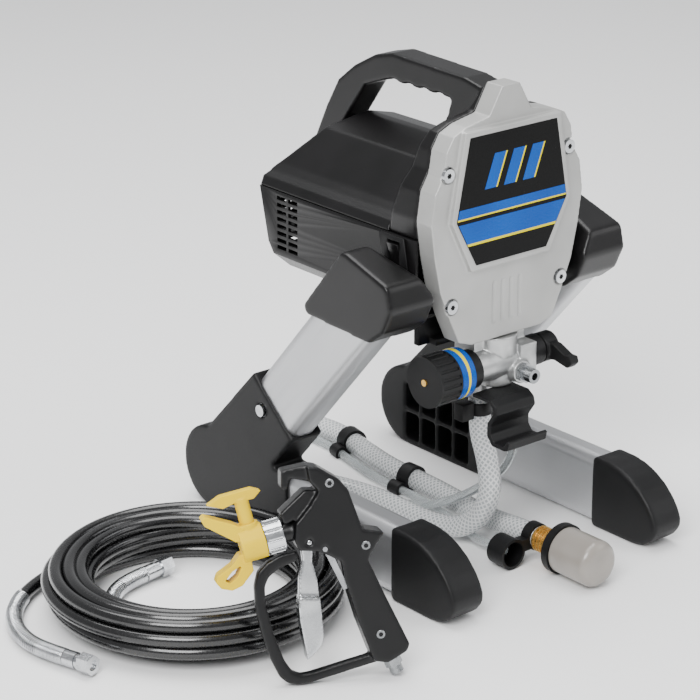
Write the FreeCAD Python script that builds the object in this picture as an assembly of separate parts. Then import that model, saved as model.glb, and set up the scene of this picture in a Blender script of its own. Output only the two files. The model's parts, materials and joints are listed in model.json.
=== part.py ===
"""Airless paint sprayer on a folding-tube stand, with its suction set, pressure hose and spray gun.

Lengths are millimetres. The layout frame has X across the stand (0 is the mid-plane), Y from the front
end of the floor rails (0) towards the back, and Z up from the floor. Everything is moved by ORIGIN at
the end, so that the origin of the finished part is the middle of the set on the floor.
"""
import FreeCAD, Part
import math
import os

from FreeCAD import Placement, Rotation, Vector

# ---------------------------------------------------------------- driving dimensions
ORIGIN = Vector(-105.2, 96.45, 0.0)   # middle of the stand and gun together, on the floor

# stand
RAIL_X = 121.0            # centre of each floor rail and leg tube from the mid-plane
RAIL_WIDE = 30.0
RAIL_HIGH = 66.0
RAIL_CORNER = 11.0
RAIL_WALL = 1.8
RAIL_BASE = 1.2           # underside of a rail above the floor
RAIL_FRONT, RAIL_BACK = -6.0, 166.0
LEG_LEAN = 41.5           # angle of the leg tubes from upright, degrees
LEG_MID = 212.0           # distance of a leg tube's centreline from the X axis, across the tube
LEG_LOW, LEG_HIGH = -66.0, 158.0
SKIN = 2.6                # plastic around a tube, in the knees, caps and sockets
SLIP = 0.12               # clearance of a tube in a plastic socket
BUTTON_LEG_T = -33.0      # place of the snap button along the leg
BUTTON_R = 5.5

# body
BODY_X = 88.0             # half width of the housing
BODY_LOW, BODY_SEAM = 236.0, 308.0
BODY_FRONT, BODY_REAR = 36.0, 250.0
WALL = 3.0
COVER_FACE = 16.0         # front face of the cover
PANEL_FACE = 11.0         # raised panel that carries the label
LABEL_THICK = 1.2
GRIP_X = 14.0             # half width of the handle grip
SCREW_HIGH, SCREW_LOW = (70.0, 367.0), (64.0, 249.0)
SCREW_HEAD_R = 6.0

# switch on the left side
SWITCH_Y, SWITCH_Z = 63.0, 290.8

# drive
MOTOR_X, MOTOR_Z = 10.0, 298.0
MOTOR_R = 36.0
PINION_R, GEAR_R = 6.0, 26.0
MESH_GAP = 0.2
SHAFT_R = 4.0
GEAR_Z = MOTOR_Z - math.sqrt((PINION_R + GEAR_R + MESH_GAP) ** 2 - MOTOR_X ** 2)
CRANK_R = 7.5             # crank pin from the gear's axis
STROKE = 2 * CRANK_R

# pump
PUMP_Y = 32.0
PISTON_R = 8.0
KNOB_AXIS_Y, KNOB_AXIS_Z = 25.0, 183.0
KNOB_R = 23.0
KNOB_END, KNOB_BACK = -86.0, -45.0
OUTLET_X, OUTLET_Z = 11.0, 175.0
OUTLET_TIP = -10.0
OUTLET_R = 6.55           # quarter inch straight pipe thread, over the crests
INLET_X, INLET_Y = -6.0, 42.0
RUN_FIT = 0.05            # radial clearance of a running fit

# suction set
SUCTION_R = 10.0
DRAIN_R = 4.0
FLOOR_GAP = 0.3
STRAINER_X, STRAINER_Z = 14.0, 23.2
STRAINER_R = 22.6

# pressure hose
HOSE_R = 6.0
COIL_X, COIL_Y = -276.0, 105.0
COIL_OUTER, COIL_INNER, COIL_HIGH = 135.0, 86.0, 46.0
GUARD_R = 7.4
STEM_R = 4.6
NUT_FLATS = 15.4
NUT_LONG = 16.0

# spray gun, in its own plane: u to the right, v up, w towards the front
GUN_HEEL = Vector(-297.0, -64.0, 1.05)
GUN_TURN = -28.4          # direction of u on the floor, degrees from +X
GUN_LEAN = 12.0           # backwards
GUN_ROLL = -6.0           # nose down in its own plane
GUN_HALF = 13.0
GUARD_HALF = 5.0
NOZZLE = Vector(-15.0, 125.7, 0.0)
NOZZLE_SLOPE = 198.0      # direction of the nozzle in the gun's plane, degrees from u
TRIGGER_PIVOT = Vector(-1.0, 119.0, 0.0)
LOCK_PIVOT = Vector(12.0, 114.0, 0.0)
NEEDLE_R = 2.4
TIP_AT = 32.0             # the tip's cross bore along the nozzle
TIP_R = 5.9
GUN_INLET_TOP, GUN_INLET_TIP = Vector(73.6, 25.0, 0.0), Vector(80.7, 11.4, 0.0)


# ---------------------------------------------------------------- plain shapes
def block(x, y, z):
    """Box between two values on each axis."""
    return Part.makeBox(x[1] - x[0], y[1] - y[0], z[1] - z[0], Vector(x[0], y[0], z[0]))


def rod(start, end, radius):
    """Round bar between two points."""
    along = Vector(*end) - Vector(*start)
    return Part.makeCylinder(radius, along.Length, Vector(*start), along)


def ring(start, end, outer, inner):
    """Round tube between two points."""
    return rod(start, end, outer).cut(rod(start, end, inner))


def plate(corners, depth):
    """Flat face with these corners, pushed along depth."""
    points = [Vector(*p) for p in corners]
    return Part.Face(Part.makePolygon(points + points[:1])).extrude(depth)


def side_plate(outline, x0, x1):
    """Plate whose outline is a list of (y, z)."""
    return plate([(x0, y, z) for y, z in outline], Vector(x1 - x0, 0, 0))


def front_plate(outline, y0, y1):
    """Plate whose outline is a list of (x, z)."""
    return plate([(x, y0, z) for x, z in outline], Vector(0, y1 - y0, 0))


def both_sides(half):
    """Whole outline from its right half, which is listed from the top down."""
    return half + [(-x, z) for x, z in reversed(half)]


def joined(*shapes):
    """One solid from pieces that overlap."""
    return shapes[0].multiFuse(list(shapes[1:])).removeSplitter()


def straight_edges(shape, direction):
    """Straight edges of a shape that run along a direction."""
    found = []
    for edge in shape.Edges:
        if edge.Curve.TypeId == "Part::GeomLine" and edge.Curve.Direction.cross(direction).Length < 1e-6:
            found.append(edge)
    return found


def softened(shape, direction, radius):
    """Shape with its straight edges along a direction rounded."""
    return shape.makeFillet(radius, straight_edges(shape, direction))


def oval_bar(wide, high, corner, length):
    """Bar along Z with a rounded rectangle as its section."""
    bar = Part.makeBox(wide, high, length, Vector(-wide / 2, -high / 2, 0))
    return softened(bar, Vector(0, 0, 1), corner)


def oval_tube(wide, high, corner, wall, length):
    """Hollow oval_bar."""
    inside = oval_bar(wide - 2 * wall, high - 2 * wall, corner - wall, length)
    return oval_bar(wide, high, corner, length).cut(inside)


def hexagon(centre, direction, flats, length):
    """Hexagonal prism that starts at centre and runs along direction."""
    corner = flats / math.sqrt(3)
    points = []
    for k in range(6):
        turn = math.radians(60 * k + 30)
        points.append(Vector(corner * math.cos(turn), corner * math.sin(turn), 0))
    prism = Part.Face(Part.makePolygon(points + points[:1])).extrude(Vector(0, 0, length))
    prism.Placement = Placement(centre, Rotation(Vector(0, 0, 1), direction))
    return prism


def lying_hose(name, points, radius):
    """Round bar along straight runs joined by tangent arcs; prints its bends, length and volume."""
    route = [Vector(*p) for p in points]
    edges, here, bends = [], route[0], []
    for before, corner, after in zip(route, route[1:], route[2:]):
        back, ahead = before - corner, after - corner
        half_turn = (math.pi - back.getAngle(ahead)) / 2
        reach = 0.45 * min(back.Length, ahead.Length)
        bends.append(reach / math.tan(half_turn))
        back.normalize()
        ahead.normalize()
        into, out = corner + back * reach, corner + ahead * reach
        middle = back + ahead
        middle.normalize()
        inside = bends[-1] / math.cos(half_turn) - bends[-1]
        edges.append(Part.LineSegment(here, into).toShape())
        edges.append(Part.Arc(into, corner + middle * inside, out).toShape())
        here = out
    edges.append(Part.LineSegment(here, route[-1]).toShape())
    path = Part.Wire(edges)
    section = Part.Wire(Part.makeCircle(radius, route[0], route[1] - route[0]))
    tube = path.makePipeShell([section], True, True)
    expected = math.pi * radius ** 2 * path.Length
    print(f"{name}: {path.Length:.0f} mm long, volume {tube.Volume / expected:.4f} of section x length,",
          "bends", " ".join(f"{bend:.0f}" for bend in bends))
    return tube


# ---------------------------------------------------------------- stand
def along_leg(shape, side):
    """Put a shape drawn as (x, across the tube, along the tube) on the leg of one side."""
    lean = Placement(Vector(side * RAIL_X, 0, 0), Rotation(Vector(1, 0, 0), LEG_LEAN))
    shape.Placement = lean.multiply(shape.Placement)
    return shape


def leg_point(across, along):
    """(y, z) of a point given across and along the leg tubes."""
    lean = math.radians(LEG_LEAN)
    y = across * math.cos(lean) - along * math.sin(lean)
    z = across * math.sin(lean) + along * math.cos(lean)
    return y, z


def leg_bar(grow, low, high):
    """Solid oval bar on the leg's line, grown all round."""
    bar = oval_bar(RAIL_WIDE + 2 * grow, RAIL_HIGH + 2 * grow, RAIL_CORNER + grow, high - low)
    bar.translate(Vector(0, LEG_MID, low))
    return bar


def rail_bar(grow, front, back):
    """Solid oval bar on a floor rail's line about x = 0, grown all round."""
    bar = oval_bar(RAIL_WIDE + 2 * grow, RAIL_HIGH + 2 * grow, RAIL_CORNER + grow, back - front)
    bar.rotate(Vector(0, 0, 0), Vector(1, 0, 0), -90)
    bar.translate(Vector(0, front, RAIL_BASE + RAIL_HIGH / 2))
    return bar


def floor_rail(side):
    rail = rail_bar(0, RAIL_FRONT, RAIL_BACK).cut(rail_bar(-RAIL_WALL, RAIL_FRONT, RAIL_BACK))
    rail.translate(Vector(side * RAIL_X, 0, 0))
    return rail


def leg_tube(side):
    tube = oval_tube(RAIL_WIDE, RAIL_HIGH, RAIL_CORNER, RAIL_WALL, LEG_HIGH - LEG_LOW)
    tube.translate(Vector(0, LEG_MID, LEG_LOW))
    hole = rod((0, LEG_MID + 8, BUTTON_LEG_T), (side * RAIL_WIDE, LEG_MID + 8, BUTTON_LEG_T), BUTTON_R + 0.3)
    return along_leg(tube.cut(hole), side)


def end_cap(side):
    half = RAIL_WIDE / 2 + SKIN
    outline = [(8, 0), (8, 69), (-14, 68.5), (-28, 66), (-41, 61), (-53, 53.5), (-63, 44), (-70, 34.5), (-74, 25),
               (-73, 17), (-67, 8.5), (-58, 2.5), (-46, 0)]
    cap = side_plate(outline, -half, half)
    cap = softened(cap, Vector(1, 0, 0), 3)
    cap = cap.cut(rail_bar(SLIP, RAIL_FRONT, 20))
    cap.translate(Vector(side * RAIL_X, 0, 0))
    return cap


def knee_outline():
    """Side view of a knee: floor socket, round heel and leaning leg socket."""
    heel_y, heel_r, front = 266.0, 40.0, 150.0
    rear_high = leg_point(LEG_MID + RAIL_HIGH / 2 + SKIN + 3, -16)
    front_high = leg_point(LEG_MID - RAIL_HIGH / 2 - SKIN, -16)
    front_low = (front_high[0] + 31, RAIL_HIGH + 3.5)
    corners = [(heel_y + 3, 2 * heel_r), rear_high, front_high, front_low, (front, front_low[1]), (front, 0)]
    edges = [Part.Arc(Vector(0, heel_y, 0), Vector(0, heel_y + heel_r, heel_r),
                      Vector(0, heel_y + 3, 2 * heel_r)).toShape()]
    points = [Vector(0, y, z) for y, z in corners] + [Vector(0, heel_y, 0)]
    for a, b in zip(points, points[1:]):
        edges.append(Part.LineSegment(a, b).toShape())
    return Part.Face(Part.Wire(edges))


def knee(side):
    half = RAIL_WIDE / 2 + SKIN
    face = knee_outline()
    face.translate(Vector(-half, 0, 0))
    body = face.extrude(Vector(2 * half, 0, 0))
    body = body.cut(along_leg(leg_bar(SLIP, LEG_LOW - SLIP, 60), 0)).cut(rail_bar(SLIP, 100, RAIL_BACK + SLIP))
    for k in range(4):
        front = 176 + 24 * k
        for low, high in ((5, 33), (37, 63)):
            pocket = block((-half, -half + 20), (front, front + 20), (low, high))
            body = body.cut(pocket.cut(along_leg(leg_bar(SKIN + 2, LEG_LOW - 4, 60), 0)))
    if side < 0:
        body = body.mirror(Vector(0, 0, 0), Vector(1, 0, 0))
    y, z = leg_point(LEG_MID + 8, BUTTON_LEG_T)
    body.translate(Vector(side * RAIL_X, 0, 0))
    return body.cut(rod((side * RAIL_X, y, z), (side * (RAIL_X + 30), y, z), BUTTON_R + 0.3))


def leg_button(side):
    y, z = leg_point(LEG_MID + 8, BUTTON_LEG_T)
    x = side * RAIL_X
    pin = rod((x + side * 5, y, z), (x + side * (RAIL_WIDE / 2 + SKIN + 2.2), y, z), BUTTON_R)
    return joined(pin, rod((x + side * 5, y, z), (x + side * 8, y, z), BUTTON_R + 2))


def leg_socket(side):
    outline = [(74, 301), (133, 231), (38, 227), (20, 241), (10, 262), (15, 283)]
    outer = RAIL_X + RAIL_WIDE / 2 + SKIN
    body = softened(side_plate(outline, side * BODY_X, side * outer), Vector(1, 0, 0), 7)
    body = body.cut(front_plate([(side * x, z) for x, z in ((80, 258), (88, 266), (111, 302), (80, 302))], 0, 140))
    return body.cut(along_leg(leg_bar(SLIP, 40, LEG_HIGH + SLIP), side))


# ---------------------------------------------------------------- body
COVER_HALF = [(10, 434), (24, 410), (50, 405), (64, 399), (72, 386), (75, 367), (84, 352), (88, 326),
              (84, 296), (77, 264), (67, 240), (55, 214), (40, 209)]


def cover_outline(shrink=0.0):
    """Whole front outline of the body, pulled in all round by about shrink."""
    half = []
    for x, z in COVER_HALF:
        half.append((x - shrink, z - shrink if z > 330 else z + shrink))
    return both_sides(half)


def screw_places():
    x_high, z_high = SCREW_HIGH
    x_low, z_low = SCREW_LOW
    return [(x_high, z_high), (-x_high, z_high), (x_low, z_low), (-x_low, z_low)]


def panel_outline(grow=0.0):
    """Hexagon of the label, grown all round."""
    return both_sides([(50 + grow, 397 + grow), (64 + grow, 325), (41 + grow, 283 - grow)])


def front_cover():
    shell = front_plate(cover_outline(), COVER_FACE, BODY_FRONT)
    shell = joined(shell, front_plate(panel_outline(5), PANEL_FACE, COVER_FACE + 1))
    shell = shell.cut(front_plate(cover_outline(WALL + 1), COVER_FACE + WALL, BODY_FRONT))
    shell = shell.cut(front_plate(panel_outline(), PANEL_FACE, PANEL_FACE + LABEL_THICK))
    for x, z in screw_places():
        seat = rod((x, COVER_FACE + WALL, z), (x, BODY_FRONT, z), 5.5)
        shell = joined(shell, seat)
        shell = shell.cut(rod((x, COVER_FACE, z), (x, COVER_FACE + 2.2, z), SCREW_HEAD_R + 1.5))
        shell = shell.cut(rod((x, COVER_FACE, z), (x, BODY_FRONT, z), 2.5))
    for k in range(4):
        x = -15 + 10 * k
        shell = shell.cut(block((x - 2, x + 2), (COVER_FACE, COVER_FACE + 1.2), (224, 262)))
    pump_hole = block((-31, 31), (COVER_FACE + WALL, BODY_FRONT), (200, 240))
    return shell.cut(pump_hole)


def label_plate():
    return front_plate(panel_outline(-0.15), PANEL_FACE, PANEL_FACE + LABEL_THICK)


def cover_screws():
    screws = []
    for x, z in screw_places():
        head = rod((x, COVER_FACE - 1.4, z), (x, COVER_FACE + 2.2, z), SCREW_HEAD_R)
        shank = rod((x, COVER_FACE, z), (x, BODY_FRONT - 1, z), 2.4)
        socket = hexagon(Vector(x, COVER_FACE - 1.5, z), Vector(0, 1, 0), 3.6, 2)
        screws.append(joined(head, shank).cut(socket))
    return Part.Compound(screws)


def shroud_envelope(inset=0.0):
    """Roof-like space of the motor shroud: a cross section along Y met by a side view along X."""
    half = [(4, 371), (40, 361), (68, 327), (76, 320), (84, 317), (BODY_X, BODY_SEAM)]
    across = front_plate(both_sides([(x - inset, z - inset if z > BODY_SEAM else z) for x, z in half]), 36, 260)
    side = [(72 + inset, BODY_SEAM), (BODY_REAR - inset, BODY_SEAM), (BODY_REAR - inset, 322 - inset),
            (205, 372 - inset), (50 + inset, 374 - inset)]
    return across.common(side_plate(side, -100, 100))


def motor_shroud():
    """Upper shell over the motor, with rows of cooling slots at its rear corners and back."""
    shell = shroud_envelope().cut(shroud_envelope(WALL))
    shell = shell.cut(block((-70, 70), (60, 76), (BODY_SEAM, 352)))
    return shell.cut(frame_strip_envelope())


def louvre_slots(low, rows):
    """Cooling slots through both rear corners: rows of short slots on the side and the back."""
    slots = []
    for row in range(rows):
        z = low + 6.6 * row
        for side in (-1, 1):
            x = (side * 92, side * 80) if side < 0 else (80, 92)
            for y in (196, 212):
                slots.append(block(x, (y, y + 13), (z, z + 3.6)))
        for x in (-70, -52, -34, 20, 38, 56):
            slots.append(block((x, x + 14), (215, 260), (z, z + 3.6)))
    return Part.Compound(slots)


def housing_envelope(inset=0.0):
    low = BODY_LOW + inset
    wide = BODY_X - inset
    across = front_plate([(wide, BODY_SEAM), (wide, low + 12), (wide - 12, low), (12 - wide, low),
                          (-wide, low + 12), (-wide, BODY_SEAM)], BODY_FRONT, 260)
    side = [(BODY_FRONT, low), (222 - inset, low), (238 - inset, low + 22), (BODY_REAR - inset, BODY_SEAM),
            (BODY_FRONT, BODY_SEAM)]
    return across.common(side_plate(side, -100, 100))


def housing():
    """Lower shell that carries the motor, the switch and the leg sockets."""
    shell = housing_envelope().cut(housing_envelope(WALL))
    shell = shell.cut(louvre_slots(254, 8))
    shell = shell.cut(switch_opening())
    shell = shell.cut(rod((-48, 200, 262), (-48, 262, 262), 9))
    return shell.cut(block((-19.6, 19.6), (20, 50), (220, 245)))


def frame_strip_envelope():
    """Black strip behind the cover, above the seam."""
    strip = front_plate(cover_outline(), BODY_FRONT, 80)
    return strip.common(side_plate([(36, BODY_SEAM), (74, BODY_SEAM), (49, 397), (36, 436)], -100, 100))


def handle_frame():
    """Strip behind the cover and the carrying handle with its finger grooves, in one moulding."""
    arch = side_plate([(36, 395), (36, 428), (60, 433), (155, 436), (179, 430), (207, 415), (229, 398),
                       (246, 370), (266, 330), (240, 318), (229, 350), (192, 400), (161, 411), (76, 411),
                       (84, 392), (84, 380)], -GRIP_X, GRIP_X)
    arch = softened(arch, Vector(1, 0, 0), 2)
    for k in range(4):
        y = 92 + 20 * k
        arch = arch.cut(rod((-GRIP_X, y, 401), (GRIP_X, y, 401), 12))
    strip = frame_strip_envelope().cut(front_plate(cover_outline(WALL + 1), BODY_FRONT, 80).common(
        side_plate([(36, BODY_SEAM), (71, BODY_SEAM), (46, 395), (36, 395)], -100, 100)))
    strip = strip.cut(block((-70, 70), (44, 80), (BODY_SEAM, 352)))
    return joined(strip, arch.cut(shroud_envelope()).cut(block((-60, 60), (10, BODY_FRONT), (380, 440))))


def switch_outline(grow):
    return [(66.3 - 15 - grow, 305.5 + grow), (66.3 + 14.7 + grow, 305.5 + grow),
            (60 + 14.7 + grow, 276.2 - grow), (60 - 15 - grow, 276.2 - grow)]


def switch_opening():
    return side_plate(switch_outline(0), -100, -70)


def switch_bezel():
    """Frame of the rocker switch, a push fit in the side of the housing."""
    rim = side_plate(switch_outline(1.6), -BODY_X - 2, -BODY_X)
    box = side_plate(switch_outline(-0.1), -BODY_X, -BODY_X + 14)
    body = joined(rim, box)
    window = block((-100, -BODY_X + 11), (SWITCH_Y - 7.5, SWITCH_Y + 7.5), (SWITCH_Z - 11.5, SWITCH_Z + 11.5))
    return body.cut(window)


def switch_rocker():
    """Two-faced rocker, pressed in at its lower end."""
    paddle = plate([(-BODY_X - 4, SWITCH_Y - 7, SWITCH_Z + 9.6), (-BODY_X - 1, SWITCH_Y - 7, SWITCH_Z),
                    (-BODY_X - 0.4, SWITCH_Y - 7, SWITCH_Z - 9.6), (-BODY_X + 4, SWITCH_Y - 7, SWITCH_Z - 9),
                    (-BODY_X + 4, SWITCH_Y - 7, SWITCH_Z + 9)], Vector(0, 14, 0))
    return paddle


def power_inlet():
    """Gland for the mains cord in the back wall."""
    gland = joined(rod((-48, 222, 262), (-48, 264, 262), 8.95), rod((-48, 252, 262), (-48, 258, 262), 12))
    return gland.cut(rod((-48, 220, 262), (-48, 270, 262), 4))


def control_board():
    return joined(block((-66, -64), (96, 150), (252, 296)), block((-64, -52), (104, 118), (258, 274)),
                  block((-64, -56), (124, 144), (262, 288)))


# ---------------------------------------------------------------- drive
def motor_can():
    """Motor can, its foot, and the front plate that carries the rotor's shaft and the gear's shaft."""
    can = ring((MOTOR_X, 74, MOTOR_Z), (MOTOR_X, 172, MOTOR_Z), MOTOR_R, MOTOR_R - 4)
    foot = block((MOTOR_X - 24, MOTOR_X + 14), (66, 158), (BODY_LOW + WALL, MOTOR_Z - MOTOR_R + 2))
    body = joined(can, foot, rod((MOTOR_X, 66, MOTOR_Z), (MOTOR_X, 74, MOTOR_Z), MOTOR_R))
    body = body.cut(rod((MOTOR_X, 60, MOTOR_Z), (MOTOR_X, 90, MOTOR_Z), SHAFT_R + RUN_FIT))
    return body.cut(rod((0, 60, GEAR_Z), (0, 80, GEAR_Z), 7 + RUN_FIT))


def armature():
    """Laminated rotor on its shaft, with the pinion at the front."""
    rotor = rod((MOTOR_X, 92, MOTOR_Z), (MOTOR_X, 160, MOTOR_Z), 29)
    shaft = rod((MOTOR_X, 60, MOTOR_Z), (MOTOR_X, 214, MOTOR_Z), SHAFT_R)
    return joined(rotor, shaft, rod((MOTOR_X, 48, MOTOR_Z), (MOTOR_X, 62, MOTOR_Z), PINION_R))


def cooling_fan():
    hub = ring((MOTOR_X, 186, MOTOR_Z), (MOTOR_X, 200, MOTOR_Z), 12, SHAFT_R)
    parts = [hub]
    for k in range(7):
        blade = block((MOTOR_X - 1, MOTOR_X + 1), (187, 199), (MOTOR_Z + 10, MOTOR_Z + 36))
        blade.rotate(Vector(MOTOR_X, 193, MOTOR_Z), Vector(0, 1, 0), 360 * k / 7)
        parts.append(blade)
    return joined(*parts)


def crank_gear():
    wheel = rod((0, 50, GEAR_Z), (0, 60, GEAR_Z), GEAR_R)
    pin = rod((CRANK_R, 38, GEAR_Z), (CRANK_R, 50, GEAR_Z), 3)
    return joined(wheel, pin, rod((0, 60, GEAR_Z), (0, 74, GEAR_Z), 7))


def piston_rod():
    """Piston rod with its yoke; the yoke's window leaves the crank pin free at every stroke."""
    window_low, window_high = GEAR_Z - 11.5 - STROKE, GEAR_Z + 11.5
    yoke = block((-19, 19), (40, 46), (window_low - 5, window_high + 5))
    yoke = yoke.cut(block((-12.5, 12.5), (39, 47), (window_low, window_high)))
    neck = block((-8, 8), (PUMP_Y - 4, 46), (window_low - 13, window_low - 5))
    return joined(yoke, neck, rod((0, PUMP_Y, 176), (0, PUMP_Y, window_low - 6), PISTON_R))


# ---------------------------------------------------------------- pump
def pump_manifold():
    """Cast block: pump cylinder, cross boss for the knob and the prime valve, outlet boss, inlet elbow."""
    neck = joined(rod((0, PUMP_Y, 196), (0, PUMP_Y, 222), 12), rod((0, PUMP_Y, 190), (0, PUMP_Y, 208), 21))
    body = rod((0, PUMP_Y, 162), (0, PUMP_Y, 200), 18)
    cross = rod((-33, KNOB_AXIS_Y, KNOB_AXIS_Z), (30, KNOB_AXIS_Y, KNOB_AXIS_Z), 14.5)
    corner = block((12, 31), (9, 40), (170, 198))
    yoke_cage = joined(block((-30, 30), (24, 44), (194, 204)), block((-30, -20), (24, 50), (194, BODY_LOW)),
                       block((20, 30), (24, 50), (194, BODY_LOW)))
    outlet = rod((OUTLET_X, 26, OUTLET_Z), (OUTLET_X, 5, OUTLET_Z), 10.5)
    elbow = rod((INLET_X, INLET_Y, 164), (INLET_X, INLET_Y, 146), 11)
    drain_stub = rod((26, 36, 172), (26, 36, 158), 4.5)
    whole = joined(neck, body, cross, corner, yoke_cage, outlet, elbow, drain_stub)
    whole = whole.cut(rod((0, PUMP_Y, 174), (0, PUMP_Y, 230), PISTON_R + RUN_FIT))
    whole = whole.cut(rod((OUTLET_X, 5, OUTLET_Z), (OUTLET_X, 14, OUTLET_Z), OUTLET_R + 0.02))
    return whole.cut(rod((INLET_X, INLET_Y, 160), (INLET_X, INLET_Y, 140), 4.5))


def inlet_seat():
    """Valve seat pressed in the inlet."""
    return ring((INLET_X, INLET_Y, 150), (INLET_X, INLET_Y, 153), 4.5, 2.2)


def inlet_ball():
    return Part.makeSphere(3.0, Vector(INLET_X, INLET_Y, 155.2))


def outlet_fitting():
    """Hexagon with a threaded spigot on each side, for the pressure hose."""
    stub = rod((OUTLET_X, OUTLET_TIP, OUTLET_Z), (OUTLET_X, 13.5, OUTLET_Z), OUTLET_R)
    nut = hexagon(Vector(OUTLET_X, 4.9, OUTLET_Z), Vector(0, -1, 0), 16, 5)
    return joined(stub, nut).cut(rod((OUTLET_X, OUTLET_TIP - 1, OUTLET_Z), (OUTLET_X, 14, OUTLET_Z), 3.4))


def knob_collar():
    """Threaded plastic collar between the manifold and the knob."""
    return ring((-44.6, KNOB_AXIS_Y, KNOB_AXIS_Z), (-33, KNOB_AXIS_Y, KNOB_AXIS_Z), 17.5, 5.4 + RUN_FIT)


def pressure_knob():
    """Fluted knob with a smooth skirt for the printed band."""
    grip = rod((KNOB_END, KNOB_AXIS_Y, KNOB_AXIS_Z), (-62, KNOB_AXIS_Y, KNOB_AXIS_Z), KNOB_R)
    skirt = rod((-62, KNOB_AXIS_Y, KNOB_AXIS_Z), (KNOB_BACK, KNOB_AXIS_Y, KNOB_AXIS_Z), KNOB_R - 1)
    stem = rod((KNOB_BACK, KNOB_AXIS_Y, KNOB_AXIS_Z), (-36, KNOB_AXIS_Y, KNOB_AXIS_Z), 5.4)
    flutes = []
    for k in range(20):
        turn = math.radians(18 * k)
        y = KNOB_AXIS_Y + (KNOB_R + 0.6) * math.cos(turn)
        z = KNOB_AXIS_Z + (KNOB_R + 0.6) * math.sin(turn)
        flutes.append(rod((KNOB_END + 2.5, y, z), (-63.5, y, z), 1.7))
    return joined(grip, skirt, stem).cut(Part.Compound(flutes))


def knob_screw():
    return rod((KNOB_END - 1.2, KNOB_AXIS_Y, KNOB_AXIS_Z), (KNOB_END, KNOB_AXIS_Y, KNOB_AXIS_Z), 3)


def valve_body():
    """Black prime valve cartridge on the right of the manifold."""
    return joined(rod((31, KNOB_AXIS_Y, KNOB_AXIS_Z), (45, KNOB_AXIS_Y, KNOB_AXIS_Z), 14),
                  rod((45, KNOB_AXIS_Y, KNOB_AXIS_Z), (60, KNOB_AXIS_Y, KNOB_AXIS_Z), 4.9))


def prime_lever():
    """Lever with a thumb wing that points to the front while spraying."""
    hub = rod((47.3, KNOB_AXIS_Y, KNOB_AXIS_Z), (62, KNOB_AXIS_Y, KNOB_AXIS_Z), 13.5)
    wing = side_plate([(25, 192), (8, 190), (-6, 184), (-13, 184), (-15, 178), (-10, 173), (6, 176),
                       (25, 174)], 50, 60)
    lever = joined(hub, softened(wing, Vector(1, 0, 0), 1.5))
    return lever.cut(rod((45, KNOB_AXIS_Y, KNOB_AXIS_Z), (61, KNOB_AXIS_Y, KNOB_AXIS_Z), 4.9 + RUN_FIT))


def hook_clip():
    """Bent hook under the manifold that hangs on a pail and holds the gun."""
    outer = [(21, 161.6), (-2, 161.6), (-9, 157), (-11, 150), (-7, 144), (-3, 138), (-3, 130), (-8, 124),
             (-20, 124), (-24, 130), (-27, 129), (-25, 121), (-20, 119.5), (-5, 119.5), (2, 128), (2, 139),
             (-3, 146), (-6, 151), (-4, 156), (0, 158), (21, 158)]
    return side_plate(outer, -34, 12)


def pump_bracket():
    """Black guard under the housing, beside the pump neck."""
    return joined(block((-72, -31), (49, 56), (206, BODY_LOW)), block((-60, -31), (40, 56), (206, 212)))


def hose_clamp():
    """Band around the top of the suction hose, with its square ear."""
    band = ring((INLET_X, INLET_Y, 130), (INLET_X, INLET_Y, 142), SUCTION_R + 1.6, SUCTION_R)
    return joined(band, block((-31, -17.3), (36, 48), (128, 144)))


# ---------------------------------------------------------------- suction set, lying on the floor
LYING = SUCTION_R + FLOOR_GAP
SUCTION_ROUTE = [(-6, 42, 146), (-6, 42, 116), (-6, 30, 90), (-7, 23, 61), (-10, 32, 34), (-15, 54, 15.5),
                 (-20, 88, LYING), (-20, 130, LYING), (-23, 175, LYING), (-36, 219, LYING), (-62, 260, LYING),
                 (-80, 306, LYING), (-72, 353, LYING), (-36, 384, LYING), (10, 386, LYING), (45, 355, LYING),
                 (54, 309, LYING), (44, 260, LYING), (34, 206, LYING), (35, 152, LYING), (31, 106, LYING),
                 (26, 66, 12), (17, 32, 19), (STRAINER_X, 4, STRAINER_Z), (STRAINER_X, -18, STRAINER_Z)]

SMALL_LYING = DRAIN_R + FLOOR_GAP
DRAIN_ROUTE = [(26, 36, 158), (26, 36, 136), (28, 32, 110), (29, 34, 82), (25, 50, 57), (16, 76, 34),
               (3, 108, 15), (-4, 146, SMALL_LYING), (-6, 186, SMALL_LYING), (-19, 228, SMALL_LYING),
               (-43, 268, SMALL_LYING), (-60, 308, SMALL_LYING), (-54, 344, SMALL_LYING),
               (-28, 366, SMALL_LYING), (6, 367, SMALL_LYING), (30, 344, SMALL_LYING),
               (36, 306, SMALL_LYING), (26, 260, SMALL_LYING), (16, 206, SMALL_LYING),
               (17.5, 152, SMALL_LYING), (12, 108, SMALL_LYING), (3, 70, SMALL_LYING), (-9, 40, 8),
               (-16, 12, 15), (-16, -6, 15)]


def suction_hose():
    return lying_hose("suction hose", SUCTION_ROUTE, SUCTION_R)


def drain_tube():
    return lying_hose("drain tube", DRAIN_ROUTE, DRAIN_R)


def hose_clip(hose_run, drain_run):
    """Holder with one ring on the suction hose and one on the drain tube, flat underneath."""
    holder, bores = [], []
    for run, radius, skin in ((hose_run, SUCTION_R, 3.2), (drain_run, DRAIN_R, 2.8)):
        a, b = Vector(*run[0]), Vector(*run[1])
        along = b - a
        along.normalize()
        start = (a + b) / 2 - along * 7
        holder.append(Part.makeCylinder(radius + skin, 14, start, along))
        bores.append(Part.makeCylinder(radius + 0.3, 16, start - along, along))
    foot = block((-100, 100), (100, 360), (-20, 0.2))
    return joined(*holder).cut(bores[0]).cut(bores[1]).cut(foot)


def hose_clips():
    return Part.Compound([hose_clip(SUCTION_ROUTE[k:k + 2], DRAIN_ROUTE[k:k + 2]) for k in (16, 18)])


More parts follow.
